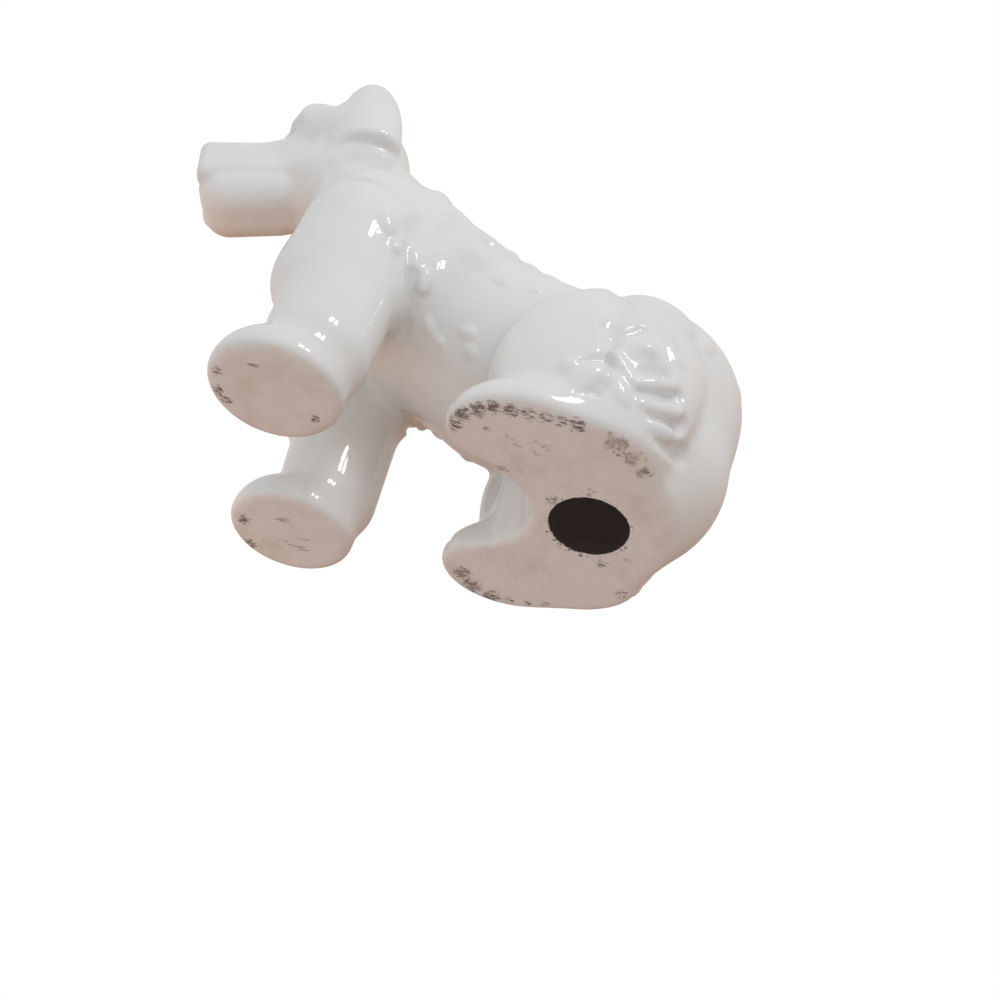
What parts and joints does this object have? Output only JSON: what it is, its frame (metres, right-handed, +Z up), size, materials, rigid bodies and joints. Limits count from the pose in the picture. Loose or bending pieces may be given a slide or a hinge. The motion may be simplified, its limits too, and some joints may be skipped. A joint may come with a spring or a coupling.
{
  "type": "dog figurine",
  "caption": "Seated schnauzer ornament in white glazed slip-cast ceramic, hollow, standing on flat unglazed feet, with a round vent hole under its base.",
  "frame": {"origin": "on the table, under the middle of the figure's overall footprint", "axes": "+Z up, the dog faces -Y, its left side is +X"},
  "size_m": [0.0814, 0.1822, 0.1585],
  "materials": {
    "white_glaze": "glossy white glaze, bare cream clay with dark scuffs on the flats it stands on",
    "bare_clay": "unglazed fired clay"
  },
  "bodies": {
    "root": {"body_shell": "white_glaze", "head_shell": "white_glaze", "neck_luting": "bare_clay", "left_foreleg": "white_glaze", "left_foreleg_luting": "bare_clay", "left_ear": "white_glaze", "right_foreleg": "white_glaze", "right_foreleg_luting": "bare_clay", "right_ear": "white_glaze", "tail": "white_glaze"}
  },
  "joints": []
}
